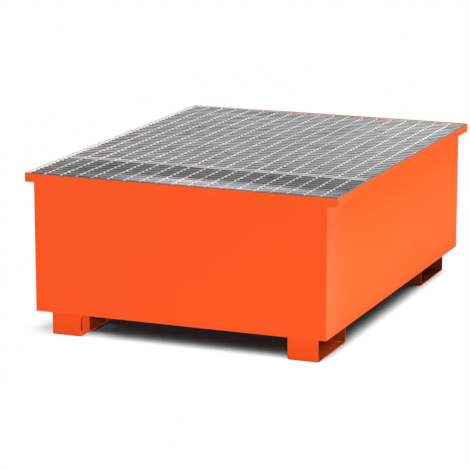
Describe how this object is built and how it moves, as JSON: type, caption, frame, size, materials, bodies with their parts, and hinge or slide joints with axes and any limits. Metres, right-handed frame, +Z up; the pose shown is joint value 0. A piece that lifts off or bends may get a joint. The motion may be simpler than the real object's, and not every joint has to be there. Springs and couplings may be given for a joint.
{
  "type": "spill containment pallet",
  "caption": "Deep rectangular steel sump on folded feet, with loose galvanised gratings lying on its rim ledge, that carries containers and catches their leaks.",
  "frame": {"origin": "on the ground under the middle of the object", "axes": "+Z up, the front faces -Y, +X to the right seen from the front"},
  "size_m": [1.28, 1.68, 0.648],
  "materials": {
    "orange_paint": "satin powder coat",
    "zinc": "hot-dip galvanised"
  },
  "bodies": {
    "sump": {"sump_floor": "orange_paint", "left_wall": "orange_paint", "right_wall": "orange_paint", "front_plate": "orange_paint", "rear_plate": "orange_paint", "corner_weld_front_left": "orange_paint", "corner_weld_front_right": "orange_paint", "corner_weld_rear_left": "orange_paint", "corner_weld_rear_right": "orange_paint", "floor_weld_front": "orange_paint", "floor_weld_rear": "orange_paint", "floor_weld_left": "orange_paint", "floor_weld_right": "orange_paint", "front_left_foot": "orange_paint", "front_right_foot": "orange_paint", "rear_left_foot": "orange_paint", "rear_right_foot": "orange_paint", "support_beam": "orange_paint", "beam_bracket_front": "orange_paint", "beam_bracket_rear": "orange_paint", "beam_leg_front": "orange_paint", "beam_leg_rear": "orange_paint", "leg_pad_front": "orange_paint", "leg_pad_rear": "orange_paint"},
    "front_grating": {"front_grating_bars": "zinc", "front_grating_left_band": "zinc", "front_grating_right_band": "zinc"},
    "rear_grating": {"rear_grating_bars": "zinc", "rear_grating_left_band": "zinc", "rear_grating_right_band": "zinc"}
  },
  "joints": [
    {"name": "front_grating_lift", "type": "slide", "parent": "sump", "child": "front_grating", "axis": [0, 0, 1], "range_m": [0, 0.6]},
    {"name": "rear_grating_lift", "type": "slide", "parent": "sump", "child": "rear_grating", "axis": [0, 0, 1], "range_m": [0, 0.6]}
  ]
}
